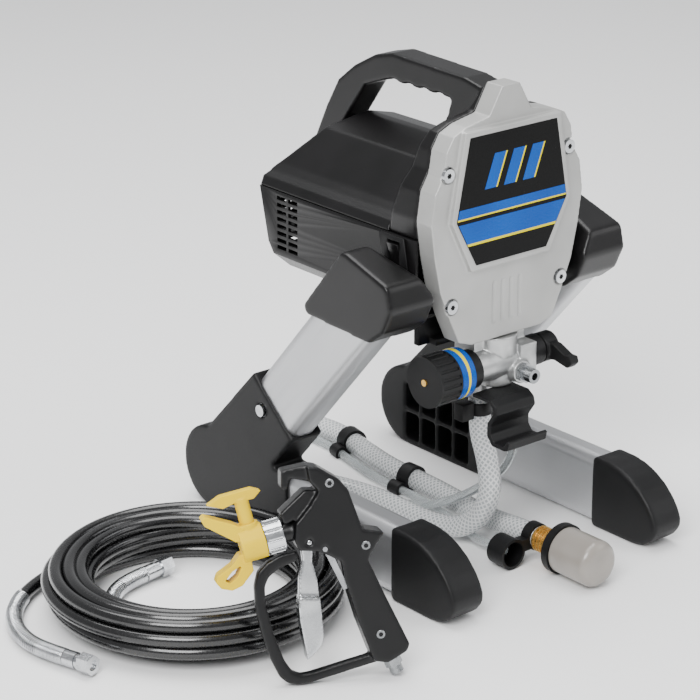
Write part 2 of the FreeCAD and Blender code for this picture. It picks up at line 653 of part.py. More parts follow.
def end_clip():
    """Twin holder at the coupling: one ring on the hose, one open cup for the drain tube's end."""
    collar = rod((STRAINER_X, -17, STRAINER_Z), (STRAINER_X, -7, STRAINER_Z), SUCTION_R + 2.5)
    cup = rod((-16, -17, 15), (-16, 3, 15), 14)
    body = joined(collar, cup, block((-8, 5), (-17, -7), (14, 25)))
    body = body.cut(rod((STRAINER_X, -20, STRAINER_Z), (STRAINER_X, 0, STRAINER_Z), SUCTION_R))
    body = body.cut(rod((-16, -18, 15), (-16, -1, 15), 11.5))
    return body.cut(rod((-16, -2, 15), (-16, 4, 15), DRAIN_R + 0.6))


def brass_coupling():
    """Collar rings and coarse thread between the hose and the strainer."""
    shank = rod((STRAINER_X, -18, STRAINER_Z), (STRAINER_X, -46, STRAINER_Z), 10.5)
    ridges = [rod((STRAINER_X, y, STRAINER_Z), (STRAINER_X, y - 2, STRAINER_Z), 12) for y in (-20, -24, -28, -32)]
    return joined(shank, *ridges).cut(rod((STRAINER_X, -20, STRAINER_Z), (STRAINER_X, -50, STRAINER_Z), 4.5))


def strainer_ring():
    return ring((STRAINER_X, -44, STRAINER_Z), (STRAINER_X, -51, STRAINER_Z), STRAINER_R + 0.4, 10.6)


def strainer_bowl():
    """Frosted bowl with a screen, rounded at its free end."""
    bowl = rod((STRAINER_X, -51, STRAINER_Z), (STRAINER_X, -96, STRAINER_Z), STRAINER_R - 1.4)
    end = [edge for edge in bowl.Edges if edge.Length < 200 and abs(edge.CenterOfMass.y + 96) < 0.1]
    bowl = bowl.makeFillet(8, end)
    return bowl.cut(rod((STRAINER_X, -50, STRAINER_Z), (STRAINER_X, -93, STRAINER_Z), STRAINER_R - 9))


# ---------------------------------------------------------------- pressure hose
def round_coil(radius, turn, height):
    """Point at a distance and an angle about the coil's axis; 0 is to the left of the view, 90 in front."""
    angle = math.radians(turn)
    left, front = (-0.768, 0.640), (-0.640, -0.768)
    x = COIL_X + radius * (left[0] * math.cos(angle) + front[0] * math.sin(angle))
    y = COIL_Y + radius * (left[1] * math.cos(angle) + front[1] * math.sin(angle))
    return x, y, height


OUTER_ROUTE = [round_coil(r, t, z) for r, t, z in
               ((128, -36, 14), (134, -22, 10), (145, -9, 7.7), (153, 4, 7.7), (158, 16, 7.7), (159, 28, 7.9),
                (156, 39, 8.7), (151, 49, 9.6))]
INNER_ROUTE = [round_coil(r, t, z) for r, t, z in
               ((92, 88, 9), (86, 71, 7.9), (79, 54, 7.7), (75, 36, 7.7), (73, 16, 7.7), (72, -4, 7.9),
                (69, -24, 8.7), (64, -43, 9.6))]


def middle(a, b):
    return tuple((p + q) / 2 for p, q in zip(a, b))


def bare_part(route):
    """Route of the bare hose: up to the middle of the third run."""
    return route[:3] + [middle(route[2], route[3])]


def guarded_part(route):
    """Route of the hose under its spring guard: the rest."""
    return [middle(route[2], route[3])] + route[3:]


def hose_coil():
    """Outer shape of the coiled hose: a rounded ring that lies on the floor."""
    wide, high, soft = COIL_OUTER - COIL_INNER, COIL_HIGH, 14.0
    corners = [(soft, 0), (wide - soft, 0), (wide, soft), (wide, high - soft), (wide - soft, high),
               (soft, high), (0, high - soft), (0, soft)]
    centres = [(wide - soft, soft), (wide - soft, high - soft), (soft, high - soft), (soft, soft)]
    points = [Vector(COIL_INNER + x, 0, z) for x, z in corners]
    edges = []
    for k in range(4):
        a, b = points[2 * k], points[2 * k + 1]
        c = points[(2 * k + 2) % 8]
        turn = math.radians(-45 + 90 * k)
        x, z = centres[k]
        middle = Vector(COIL_INNER + x + soft * math.cos(turn), 0, z + soft * math.sin(turn))
        edges.append(Part.LineSegment(a, b).toShape())
        edges.append(Part.Arc(b, middle, c).toShape())
    ring_solid = Part.Face(Part.Wire(edges)).revolve(Vector(0, 0, 0), Vector(0, 0, 1), 360)
    ring_solid.translate(Vector(COIL_X, COIL_Y, FLOOR_GAP))
    return ring_solid


def hose_tails():
    outer = lying_hose("outer tail", bare_part(OUTER_ROUTE), HOSE_R)
    inner = lying_hose("inner tail", bare_part(INNER_ROUTE), HOSE_R)
    return Part.Compound([outer.cut(hose_coil()), inner.cut(hose_coil())])


def spring_guards():
    return Part.Compound([lying_hose("outer guard", guarded_part(OUTER_ROUTE), GUARD_R),
                          lying_hose("inner guard", guarded_part(INNER_ROUTE), GUARD_R)])


def hose_end(route):
    """End point of a hose route and its direction there."""
    along = Vector(*route[-1]) - Vector(*route[-2])
    along.normalize()
    return Vector(*route[-1]), along


def hose_stem(route):
    """Ferrule and the stem on which the swivel nut turns."""
    start, along = hose_end(route)
    return joined(Part.makeCylinder(7.0, 12, start, along), Part.makeCylinder(STEM_R, 26, start, along))


def hose_stems():
    return Part.Compound([hose_stem(OUTER_ROUTE), hose_stem(INNER_ROUTE)])


def swivel_nut(route):
    """Hexagon nut with a round neck, free to turn on the stem."""
    end, along = hose_end(route)
    start = end + along * 12.4
    neck = Part.makeCylinder(6.4, 4, start, along)
    nut = hexagon(start + along * 4, along, NUT_FLATS, NUT_LONG - 4)
    return joined(neck, nut).cut(Part.makeCylinder(STEM_R + RUN_FIT, 40, start - along * 5, along))


# ---------------------------------------------------------------- spray gun
def gun_placement():
    """Placement that takes (u, v, w) of the gun's plane to the layout frame."""
    roll = Rotation(Vector(0, 0, 1), GUN_ROLL)
    stand_up = Rotation(Vector(1, 0, 0), 90 - GUN_LEAN)
    turn = Rotation(Vector(0, 0, 1), GUN_TURN)
    return Placement(GUN_HEEL, turn.multiply(stand_up).multiply(roll))


def gun_plate(outline, w0, w1):
    """Plate in the gun's plane from a list of (u, v)."""
    return plate([(u, v, w0) for u, v in outline], Vector(0, 0, w1 - w0))


def nozzle_part(shape):
    """Put a shape drawn with the nozzle's axis along X and the tip's stem along Y on the gun."""
    flip = Rotation(Vector(0, 0, 1), NOZZLE_SLOPE).multiply(Rotation(Vector(1, 0, 0), 180))
    shape.Placement = Placement(NOZZLE, flip)
    return shape


def gun_body():
    """Head, grip, hook arms and trigger guard in one casting."""
    head = [(-7, 181), (3, 180), (20, 171), (28, 163), (42, 131), (60, 129), (56, 122), (50, 111), (48, 104),
            (26, 104), (7, 112), (-9, 112), (-13, 120), (-13, 134), (-3, 148), (4, 161), (-4, 168)]
    grip = [(26, 106), (48, 106), (64, 77), (87, 37), (85, 31), (70, 21), (59, 22), (56, 27), (44, 53), (39, 66),
            (30, 89)]
    upper_arm = [(-27, 176), (-7, 181), (2, 178), (-4, 168), (-20, 170), (-21, 160), (-26, 161)]
    lower_arm = [(-26, 141), (-7, 161), (5, 161), (-2, 148), (-14, 136), (-22, 132)]
    guard = [(-9, 110.5), (-22, 107), (-33, 100.5), (-40, 92), (-42, 80), (-40, 62), (-34, 42), (-25, 20), (-17, 6),
             (-10, 1), (-2, 0), (8, 1.5), (66, 21), (63, 28.5), (8, 10), (0, 8.5), (-7, 11), (-14, 20), (-25, 44),
             (-32, 66), (-33.5, 80), (-31, 88), (-24, 94.5), (-17, 98.5), (-9, 102)]
    spigot = nozzle_part(rod((-6, 0, 0), (20, 0, 0), 8))
    body = joined(gun_plate(head, -GUN_HALF, GUN_HALF), gun_plate(grip, -GUN_HALF, GUN_HALF),
                  gun_plate(upper_arm, -9, 9), gun_plate(lower_arm, -9, 9),
                  gun_plate(guard, -GUARD_HALF, GUARD_HALF), spigot)
    body = body.cut(gun_plate([(-8, 96), (-8, 126), (8, 126), (20, 118), (20, 96)], -4.2, 4.2))
    body = body.cut(gun_plate([(5, 96), (5, 122), (44, 122), (44, 80), (26, 80)], 4.3, 8.6))
    body = body.cut(rod(tuple(TRIGGER_PIVOT - Vector(0, 0, 20)), tuple(TRIGGER_PIVOT + Vector(0, 0, 20)), 2.5))
    body = body.cut(rod(tuple(LOCK_PIVOT - Vector(0, 0, 8)), tuple(LOCK_PIVOT + Vector(0, 0, 20)), 2.05))
    body = body.cut(nozzle_part(rod((-30, 0, 0), (21, 0, 0), NEEDLE_R + RUN_FIT)))
    return body.cut(rod(tuple(GUN_INLET_TOP - inlet_axis() * 14), tuple(GUN_INLET_TOP + inlet_axis() * 10),
                        5 + RUN_FIT))


def inlet_axis():
    axis = GUN_INLET_TIP - GUN_INLET_TOP
    axis.normalize()
    return axis


def trigger():
    """Curved finger lever on its own pivot pin."""
    shank = gun_plate([(-6, 124), (2, 124), (4, 112), (4, 102), (9, 88), (13, 66), (-5, 66), (-6, 88), (-4, 102),
                       (-6, 112)], -3.8, 3.8)
    blade = gun_plate([(11.5, 73), (13.5, 62), (15.5, 48), (16.5, 40), (15, 33), (10, 26.5), (4, 21), (3, 27),
                       (0, 38), (-4, 54), (-5.5, 64), (-5.5, 73)], -8, 8)
    return joined(blade, shank, rod((TRIGGER_PIVOT.x, TRIGGER_PIVOT.y, -12.8), (TRIGGER_PIVOT.x, TRIGGER_PIVOT.y, 12.8),
                             2.45))


def trigger_lock():
    """Catch beside the trigger that swings over it."""
    arm = gun_plate([(9, 117), (15, 117), (34, 82), (30, 80)], 4.7, 8.2)
    return joined(arm, rod((LOCK_PIVOT.x, LOCK_PIVOT.y, 4.7), (LOCK_PIVOT.x, LOCK_PIVOT.y, 12.6), 2))


def needle():
    return nozzle_part(rod((-26, 0, 0), (18, 0, 0), NEEDLE_R))


def gun_nut():
    """Fluted nut that holds the guard on the gun."""
    nut = rod((7, 0, 0), (21.5, 0, 0), 14)
    for k in range(12):
        turn = math.radians(30 * k)
        y, z = 14.6 * math.cos(turn), 14.6 * math.sin(turn)
        nut = nut.cut(rod((8, y, z), (20, y, z), 1.8))
    return nozzle_part(nut.cut(rod((0, 0, 0), (30, 0, 0), 8 + RUN_FIT)))


def nozzle_plate(outline, half):
    """Plate from a list of (along the nozzle, across it), centred on the gun's plane."""
    return plate([(s, p, -half) for s, p in outline], Vector(0, 0, 2 * half))


def tip_guard():
    """Base ring with two wings that stand ahead of the tip."""
    base = joined(rod((22, 0, 0), (42, 0, 0), 14.5), rod((TIP_AT, 0, 0), (TIP_AT, 17, 0), 8.5))
    upper = nozzle_plate([(37, 5.5), (37, 15), (43, 20), (64, 32.5), (67.5, 30.5), (66, 25), (53, 13), (45, 5.5)], 8)
    lower = nozzle_plate([(37, -5.5), (37, -21), (49, -30.5), (58, -32), (66, -28), (69, -22), (66, -17), (53, -12),
                          (45, -5.5)], 7)
    lower = lower.cut(nozzle_plate([(45, -14), (51, -22), (58, -25.5), (61.5, -23), (54, -17)], 9))
    guard = joined(base, upper, lower)
    guard = guard.cut(rod((TIP_AT, -11, 0), (TIP_AT, 20, 0), TIP_R + RUN_FIT))
    return nozzle_part(guard.cut(rod((20, 0, 0), (44, 0, 0), 4)))


def spray_tip():
    """Reversible tip: a cross cylinder with an arrow-shaped handle."""
    cylinder = rod((TIP_AT, -10.8, 0), (TIP_AT, 38, 0), TIP_R)
    arrow = nozzle_plate([(15, 40), (22, 44), (48, 44.5), (60, 40), (48, 34), (36, 36), (22, 35)], 4.5)
    orifice = rod((TIP_AT - 8, 0, 0), (TIP_AT + 8, 0, 0), 1)
    return nozzle_part(joined(cylinder, arrow).cut(orifice))


def gun_inlet():
    """Swivelling inlet under the grip."""
    top, axis = GUN_INLET_TOP, inlet_axis()
    return joined(Part.makeCylinder(5.0, 16, top - axis * 12, axis), hexagon(top + axis * 3, axis, 12.5, 6),
                  Part.makeCylinder(5.6, 12.5, top + axis * 3, axis))


# ---------------------------------------------------------------- all nodes
STAND_NODES = {
    "floor_rail_left": floor_rail(-1), "floor_rail_right": floor_rail(1),
    "end_cap_left": end_cap(-1), "end_cap_right": end_cap(1),
    "knee_left": knee(-1), "knee_right": knee(1),
    "leg_tube_left": leg_tube(-1), "leg_tube_right": leg_tube(1),
    "leg_button_left": leg_button(-1), "leg_button_right": leg_button(1),
    "leg_socket_left": leg_socket(-1), "leg_socket_right": leg_socket(1),
    "front_cover": front_cover(), "label_plate": label_plate(), "cover_screws": cover_screws(),
    "housing": housing(), "motor_shroud": motor_shroud(), "handle_frame": handle_frame(),
    "switch_bezel": switch_bezel(), "switch_rocker": switch_rocker(), "power_inlet": power_inlet(),
    "control_board": control_board(), "motor_can": motor_can(), "armature": armature(),
    "cooling_fan": cooling_fan(), "crank_gear": crank_gear(), "piston_rod": piston_rod(),
    "pump_manifold": pump_manifold(), "inlet_seat": inlet_seat(), "inlet_ball": inlet_ball(),
    "outlet_fitting": outlet_fitting(), "knob_collar": knob_collar(), "pressure_knob": pressure_knob(),
    "knob_screw": knob_screw(), "valve_body": valve_body(), "prime_lever": prime_lever(),
    "hook_clip": hook_clip(), "pump_bracket": pump_bracket(), "hose_clamp": hose_clamp(),
    "suction_hose": suction_hose(), "drain_tube": drain_tube(), "hose_clips": hose_clips(),
    "end_clip": end_clip(), "brass_coupling": brass_coupling(), "strainer_ring": strainer_ring(),
    "strainer_bowl": strainer_bowl(), "hose_coil": hose_coil(), "hose_tails": hose_tails(),
    "spring_guards": spring_guards(), "hose_stems": hose_stems(),
    "swivel_nut_outer": swivel_nut(OUTER_ROUTE), "swivel_nut_inner": swivel_nut(INNER_ROUTE),
}
GUN_NODES = {
    "gun_body": gun_body(), "trigger": trigger(), "trigger_lock": trigger_lock(), "needle": needle(),
    "gun_nut": gun_nut(), "tip_guard": tip_guard(), "spray_tip": spray_tip(), "gun_inlet": gun_inlet(),
}


def placed_nodes():
    """Every node in the finished part's frame."""
    nodes = dict(STAND_NODES)
    for name, shape in GUN_NODES.items():
        nodes[name] = shape.copy()
        nodes[name].Placement = gun_placement().multiply(shape.Placement)
    for name in nodes:
        moved = nodes[name].copy()
        moved.translate(-ORIGIN)
        nodes[name] = moved
    return nodes


NODES = placed_nodes()
CORDS = ("suction_hose", "drain_tube", "hose_clips", "end_clip", "brass_coupling", "strainer_ring",
         "strainer_bowl", "hose_coil", "hose_tails", "spring_guards", "hose_stems", "swivel_nut_outer",
         "swivel_nut_inner")
os.makedirs("parts", exist_ok=True)
for name, shape in NODES.items():
    shape.exportStep(f"parts/{name}.step")
solid_part = Part.Compound([shape for name, shape in NODES.items() if name not in CORDS])
box = solid_part.optimalBoundingBox()
print(f"{len(NODES)} nodes; without the hoses x {box.XMin:.2f} to {box.XMax:.2f},",
      f"y {box.YMin:.2f} to {box.YMax:.2f}, z {box.ZMin:.2f} to {box.ZMax:.2f}")
print("gun's lowest point", round(NODES["gun_body"].BoundBox.ZMin, 2), round(NODES["gun_inlet"].BoundBox.ZMin, 2))
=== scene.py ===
# %% [markdown]
# # An airless paint sprayer
# The machine stands on two leaning tubes, with its suction hose on the floor between them. Beside it lie
# the coiled pressure hose and the spray gun. The solid shapes come from the CAD model, which is loaded
# first, and Blender rounds them, adds what CAD left plain, and gives every piece its finish.

# %% Load the CAD model
import math
import bpy
from mathutils import Matrix, Vector
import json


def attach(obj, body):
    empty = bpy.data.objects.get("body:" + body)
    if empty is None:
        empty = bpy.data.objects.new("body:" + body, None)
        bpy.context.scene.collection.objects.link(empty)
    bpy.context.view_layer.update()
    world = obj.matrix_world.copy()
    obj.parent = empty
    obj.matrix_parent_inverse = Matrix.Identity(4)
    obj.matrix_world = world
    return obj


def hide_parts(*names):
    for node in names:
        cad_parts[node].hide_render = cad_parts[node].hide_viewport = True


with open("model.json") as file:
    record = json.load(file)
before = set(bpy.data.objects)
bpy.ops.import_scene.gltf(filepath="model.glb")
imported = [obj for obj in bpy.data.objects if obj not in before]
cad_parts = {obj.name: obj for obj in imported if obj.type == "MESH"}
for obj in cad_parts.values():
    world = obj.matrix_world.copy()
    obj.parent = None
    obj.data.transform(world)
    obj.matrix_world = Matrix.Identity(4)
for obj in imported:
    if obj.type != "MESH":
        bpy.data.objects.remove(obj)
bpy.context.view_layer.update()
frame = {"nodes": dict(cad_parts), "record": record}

# %% [markdown]
# Lengths in this script are millimetres in the layout frame that the CAD drawing uses, with x = 0 in the
# middle of the stand. One helper turns such a point into metres in the model's own frame.

# %% Layout points
LAYOUT_X, LAYOUT_Y = -105.2, 96.45


def at(x, y, z):
    """Point of the layout, in metres in the model's frame."""
    return Vector(((x - LAYOUT_X) / 1000, (y - LAYOUT_Y) / 1000, z / 1000))


def points_at(route):
    return [at(*p) for p in route]


# %% [markdown]
# ## Camera
# The machine is looked at from its left front corner, from a little above and from quite far away, so
# that the lens is long and the shapes are hardly foreshortened.

# %% Camera
CAMERA_TURN, CAMERA_RISE = -39.8, 20.62
CAMERA_PLACE = (-1473.5, -1555.8, 1013.4)
CAMERA_DOWN, CAMERA_LEFT = 0.0085, 0.0100
camera_data = bpy.data.cameras.new("studio_camera")
camera_data.lens = 135.5
camera_data.sensor_width = 36.0
camera_data.clip_end = 20.0
camera = bpy.data.objects.new("studio_camera", camera_data)
bpy.context.collection.objects.link(camera)
turn, rise = math.radians(CAMERA_TURN), math.radians(CAMERA_RISE)
camera_up = Vector((-math.sin(turn) * math.sin(rise), math.cos(turn) * math.sin(rise), math.cos(rise)))
camera_right = Vector((math.cos(turn), math.sin(turn), 0))
camera.location = at(*CAMERA_PLACE) - camera_up * CAMERA_DOWN - camera_right * CAMERA_LEFT
camera.rotation_euler = (math.pi / 2 - rise, 0, turn)
bpy.context.scene.camera = camera
print("camera up", [round(v, 4) for v in camera_up])

# %% [markdown]
# ## Hoses
# A hose is one smooth line. Its route is a handful of points, and a NURBS curve of order 3 runs through
# the bends between them, the way a hose does. The order has to be set after the points are added.

# %% Curve helper
def smooth_curve(name, route, radius=0.0):
    """NURBS curve through the bends of a route; a radius makes it a round hose."""
    data = bpy.data.curves.new(name, "CURVE")
    data.dimensions = "3D"
    data.resolution_u = 12
    data.bevel_depth = radius
    data.bevel_resolution = 6
    data.use_fill_caps = True
    spline = data.splines.new("NURBS")
    spline.points.add(len(route) - 1)
    for point, place in zip(spline.points, route):
        point.co = (*place, 1.0)
    spline.order_u = 3
    spline.use_endpoint_u = True
    curve = bpy.data.objects.new(name, data)
    bpy.context.collection.objects.link(curve)
    return curve


def line_of(route):
    """Points along the smooth curve of a route, read back from the curve itself."""
    guide = smooth_curve("guide", route)
    bpy.context.view_layer.update()
    mesh = bpy.data.meshes.new_from_object(guide.evaluated_get(bpy.context.evaluated_depsgraph_get()))
    points = [v.co.copy() for v in mesh.vertices]
    bpy.data.objects.remove(guide)
    bpy.data.meshes.remove(mesh)
    return points


def length_of(points):
    return sum((b - a).length for a, b in zip(points, points[1:]))


# %% [markdown]
# The clear hoses show a braid that winds along them, so they are mesh tubes with a UV map: one direction
# runs around the hose and the other along it, both in metres. Each ring of the tube is turned as little
# as possible from the ring before, which keeps the braid from twisting.

# %% Tube helper
def mesh_object(name, vertices, faces):
    """New object from vertices and faces, linked to the scene."""
    mesh = bpy.data.meshes.new(name)
    mesh.from_pydata(vertices, [], faces)
    made = bpy.data.objects.new(name, mesh)
    bpy.context.collection.objects.link(made)
    return made


def tube_along(name, points, radius, sides=24):
    """Closed tube around a line of points, with a UV map in metres."""
    vertices, faces, uvs = [], [], []
    side = Vector((1, 0, 0))
    gone = 0.0
    lengths = []
    for k, place in enumerate(points):
        ahead = (points[min(k + 1, len(points) - 1)] - points[max(k - 1, 0)]).normalized()
        side = (side - ahead * side.dot(ahead)).normalized()
        other = ahead.cross(side)
        if k:
            gone += (place - points[k - 1]).length
        lengths.append(gone)
        for j in range(sides):
            angle = 2 * math.pi * j / sides
            vertices.append(place + (side * math.cos(angle) + other * math.sin(angle)) * radius)
    around = 2 * math.pi * radius
    for k in range(len(points) - 1):
        for j in range(sides):
            a, b = k * sides + j, k * sides + (j + 1) % sides
            faces.append((a, b, b + sides, a + sides))
            u0, u1 = around * j / sides, around * (j + 1) / sides
            uvs += [(u0, lengths[k]), (u1, lengths[k]), (u1, lengths[k + 1]), (u0, lengths[k + 1])]
    for ring, turn_over in ((0, True), (len(points) - 1, False)):
        cap = [ring * sides + j for j in range(sides)]
        faces.append(tuple(reversed(cap)) if turn_over else tuple(cap))
        uvs += [(0.0, lengths[ring])] * sides
    tube = mesh_object(name, vertices, faces)
    mesh = tube.data
    layer = mesh.uv_layers.new(name="along")
    for loop, uv in zip(layer.data, uvs):
        loop.uv = uv
    mesh.polygons.foreach_set("use_smooth", [True] * (len(faces) - 2) + [False] * 2)
    return tube


# %% [markdown]
# The suction hose drops from the pump, lies on the floor in a long loop behind the stand and comes back to
# the strainer in front. The thin drain tube keeps it company and ends in a cup beside the strainer.

# %% Suction hose and drain tube
LYING = 10.3
SUCTION_ROUTE = [(-6, 42, 146), (-6, 42, 116), (-6, 30, 90), (-7, 23, 61), (-10, 32, 34), (-15, 54, 15.5),
                 (-20, 88, LYING), (-20, 130, LYING), (-23, 175, LYING), (-36, 219, LYING), (-62, 260, LYING),
                 (-80, 306, LYING), (-72, 353, LYING), (-36, 384, LYING), (10, 386, LYING), (45, 355, LYING),
                 (54, 309, LYING), (44, 260, LYING), (34, 206, LYING), (35, 152, LYING), (31, 106, LYING),
                 (26, 66, 12), (17, 32, 19), (14, 4, 23.2), (14, -18, 23.2)]
THIN = 4.3
DRAIN_ROUTE = [(26, 36, 158), (26, 36, 136), (28, 32, 110), (29, 34, 82), (25, 50, 57), (16, 76, 34),
               (3, 108, 15), (-4, 146, THIN), (-6, 186, THIN), (-19, 228, THIN), (-43, 268, THIN),
               (-60, 308, THIN), (-54, 344, THIN), (-28, 366, THIN), (6, 367, THIN), (30, 344, THIN),
               (36, 306, THIN), (26, 260, THIN), (16, 206, THIN), (17.5, 152, THIN), (12, 108, THIN),
               (3, 70, THIN), (-9, 40, 8), (-16, 12, 15), (-16, -6, 15)]

suction_line = line_of(points_at(SUCTION_ROUTE))
drain_line = line_of(points_at(DRAIN_ROUTE))
suction_hose = tube_along("suction_hose_braided", suction_line, 0.010, 32)
drain_tube = tube_along("drain_tube_clear", drain_line, 0.004, 20)
print(f"suction hose {length_of(suction_line):.3f} m, drain tube {length_of(drain_line):.3f} m")

# %% [markdown]
# The pressure hose is wound loosely: its turns lie in four rough layers, they differ in size and their
# middles wander, so that they fan out. One end leaves the coil on the outside and the other inside it.
# Each turn is fifteen points on a circle whose size, middle and height change a little as it goes round.

# %% Pressure hose
COIL_X, COIL_Y = -276.0, 105.0
HOSE = 6.0


def round_coil(radius, turn, height):
    """Point at a distance and an angle about the coil's axis; 0 is to the left of the view, 90 in front."""
    angle = math.radians(turn)
    x = COIL_X + radius * (-0.768 * math.cos(angle) - 0.640 * math.sin(angle))
    y = COIL_Y + radius * (0.640 * math.cos(angle) - 0.768 * math.sin(angle))
    return x, y, height


OUTER_ROUTE = [round_coil(r, t, z) for r, t, z in
               ((128, -36, 14), (134, -22, 10), (145, -9, 7.7), (153, 4, 7.7), (158, 16, 7.7), (159, 28, 7.9),
                (156, 39, 8.7), (151, 49, 9.6))]
INNER_ROUTE = [round_coil(r, t, z) for r, t, z in
               ((92, 88, 9), (86, 71, 7.9), (79, 54, 7.7), (75, 36, 7.7), (73, 16, 7.7), (72, -4, 7.9),
                (69, -24, 8.7), (64, -43, 9.6))]
PACKING = [(128.5, 6.9), (124.5, 18.0), (125.5, 29.4), (120.5, 40.0), (109.0, 40.2), (97.8, 39.4),
           (93.6, 28.6), (104.8, 28.8), (99.5, 17.9), (111.0, 18.0), (105.3, 7.0), (93.6, 7.2)]


def coil_turns(first_angle, last_angle, whole_turns):
    """Points of the loose turns, from the outside of the coil to the inside."""
    turns = []
    total = first_angle - last_angle + 360 * whole_turns
    steps = int(total / 24)
    for step in range(1, steps):
        gone = step * total / steps / 360
        turn = int(gone)
        move = min(max((gone - turn - 0.05) / 0.3, 0), 1)
        move = move * move * (3 - 2 * move)
        (r0, z0), (r1, z1) = PACKING[turn], PACKING[min(turn + 1, len(PACKING) - 1)]
        swell = 1.0 * math.sin(math.radians(2 * gone * 360) + 1.7 * turn)
        x, y, z = round_coil((r0 + (r1 - r0) * move) * 1.008 + swell, first_angle - gone * 360,
                             z0 + (z1 - z0) * move)
        turns.append((x + 1.5 * math.cos(2.4 * turn), y + 1.5 * math.sin(2.4 * turn), max(z, HOSE + 0.4)))
    return turns


hose_route = list(reversed(OUTER_ROUTE)) + coil_turns(-36, 88, 11) + INNER_ROUTE
pressure_hose = smooth_curve("pressure_hose_coiled", points_at(hose_route), HOSE / 1000)
pressure_line = line_of(points_at(hose_route))
print(f"pressure hose {length_of(pressure_line):.3f} m in {len(hose_route)} points")

# %% [markdown]
# Each end of the pressure hose is stiffened by a spring of zinc-plated wire. The wire is one thin tube
# that winds around the hose's own line, open at first and closed up next to the fitting.

# %% Spring guards
def end_stretch(line, reach):
    """The last stretch of a line, of a given length, ending at its last point."""
    taken, left = [line[-1]], reach
    for here, before in zip(reversed(line), reversed(line[:-1])):
        step = (before - here).length
        if step > left:
            taken.append(here.lerp(before, left / step))
            break
        taken.append(before)
        left -= step
    return list(reversed(taken))


def winding(line, radius, pitch, closed_pitch, closed_length, per_turn=14):
    """Helix around a line; its pitch closes up over the last stretch."""
    total = length_of(line)
    points, side, angle, gone = [], Vector((0, 0, 1)), 0.0, 0.0
    k, start = 0, 0.0
    while gone < total - 0.0005 and k < len(line) - 1:
        step = (line[k + 1] - line[k]).length
        if gone > start + step:
            start += step
            k += 1
            continue
        ahead = (line[k + 1] - line[k]).normalized()
        side = (side - ahead * side.dot(ahead)).normalized()
        other = ahead.cross(side)
        place = line[k] + ahead * (gone - start)
        points.append(place + (side * math.cos(angle) + other * math.sin(angle)) * radius)
        angle += 2 * math.pi / per_turn
        gone += (closed_pitch if gone > total - closed_length else pitch) / per_turn
    return points


guards = []
for name, line, reach in (("outer", list(reversed(pressure_line)), 0.136), ("inner", pressure_line, 0.106)):
    stretch = end_stretch(line, reach)
    wire = winding(stretch, 0.0067, 0.0026, 0.00155, 0.03)
    guards.append(tube_along(f"spring_guard_{name}", wire, 0.0007, 7))
    guards[-1].data.polygons.foreach_set("use_smooth", [True] * len(guards[-1].data.polygons))
print("spring guards", [len(g.data.polygons) for g in guards])

# %% [markdown]
# ## Finishes
# No real surface has one flat colour. Three effects are shared by most finishes, so each is a node group
# that is built once: a fine grain for the surface's texture, a slow cloudy change of shade, and streaks
# that run one way, as on drawn metal. The groups give out values only, and each material feeds them to
# its own shader.

# %% Node group helpers
def new_group(name, inputs, outputs):
    """Empty shader group with float inputs (name, default) and float outputs."""
    group = bpy.data.node_groups.new(name, "ShaderNodeTree")
    for socket, value in inputs:
        made = group.interface.new_socket(socket, in_out="INPUT", socket_type="NodeSocketFloat")
        made.default_value = value
    for socket in outputs:
        group.interface.new_socket(socket, in_out="OUTPUT", socket_type="NodeSocketFloat")
    return group, group.nodes.new("NodeGroupInput"), group.nodes.new("NodeGroupOutput")


def link(tree, start, end):
    tree.links.new(start, end)


def cloud_group(name, detail, stretch=(1, 1, 1)):
    """Noise on Object coordinates, stretched if need be, with a scale input."""
    group, entry, leave = new_group(name, [("Scale", 100.0)], ["Value"])
    place = group.nodes.new("ShaderNodeTexCoord")
    shape = group.nodes.new("ShaderNodeMapping")
    shape.inputs["Scale"].default_value = stretch
    noise = group.nodes.new("ShaderNodeTexNoise")
    noise.inputs["Detail"].default_value = detail
    link(group, place.outputs["Object"], shape.inputs["Vector"])
    link(group, shape.outputs["Vector"], noise.inputs["Vector"])
    link(group, entry.outputs["Scale"], noise.inputs["Scale"])
    link(group, noise.outputs["Fac"], leave.inputs["Value"])
    return group


GRAIN = cloud_group("grain", 3.0)
CLOUD = cloud_group("cloud", 2.0)
RAIL_STREAKS = cloud_group("rail_streaks", 2.0, (1, 0.02, 1))

# %% [markdown]
# A leg tube leans 41.5 degrees, so its drawing streaks lean with it: the group turns the coordinates
# before it stretches them.

# %% Streaks along the legs
LEG_STREAKS = cloud_group("leg_streaks", 2.0, (1, 1, 0.02))
for node in LEG_STREAKS.nodes:
    if node.type == "MAPPING":
        node.vector_type = "TEXTURE"
        node.inputs["Scale"].default_value = (1, 1, 50)
        node.inputs["Rotation"].default_value = (math.radians(41.5), 0, 0)


# %% [markdown]
# A finish is a Principled shader with two of these groups: the cloud mixes two close shades and moves the
# roughness a little, and the grain makes a bump. The values that are the same all over are set on the
# shader itself.

# %% Finish helper
def colour(code):
    """Linear colour of a hexadecimal code."""
    values = [int(code[k:k + 2], 16) / 255 for k in (1, 3, 5)]
    return [v / 12.92 if v <= 0.04045 else ((v + 0.055) / 1.055) ** 2.4 for v in values] + [1.0]


def group_node(tree, group, scale):
    node = tree.nodes.new("ShaderNodeGroup")
    node.node_tree = group
    node.inputs["Scale"].default_value = scale
    return node


def spread(tree, source, low, high, low_in=0.35, high_in=0.65):
    """Value moved from the noise's usual range to another."""
    node = tree.nodes.new("ShaderNodeMapRange")
    node.inputs["From Min"].default_value = low_in
    node.inputs["From Max"].default_value = high_in
    node.inputs["To Min"].default_value = low
    node.inputs["To Max"].default_value = high
    link(tree, source, node.inputs["Value"])
    return node.outputs["Result"]


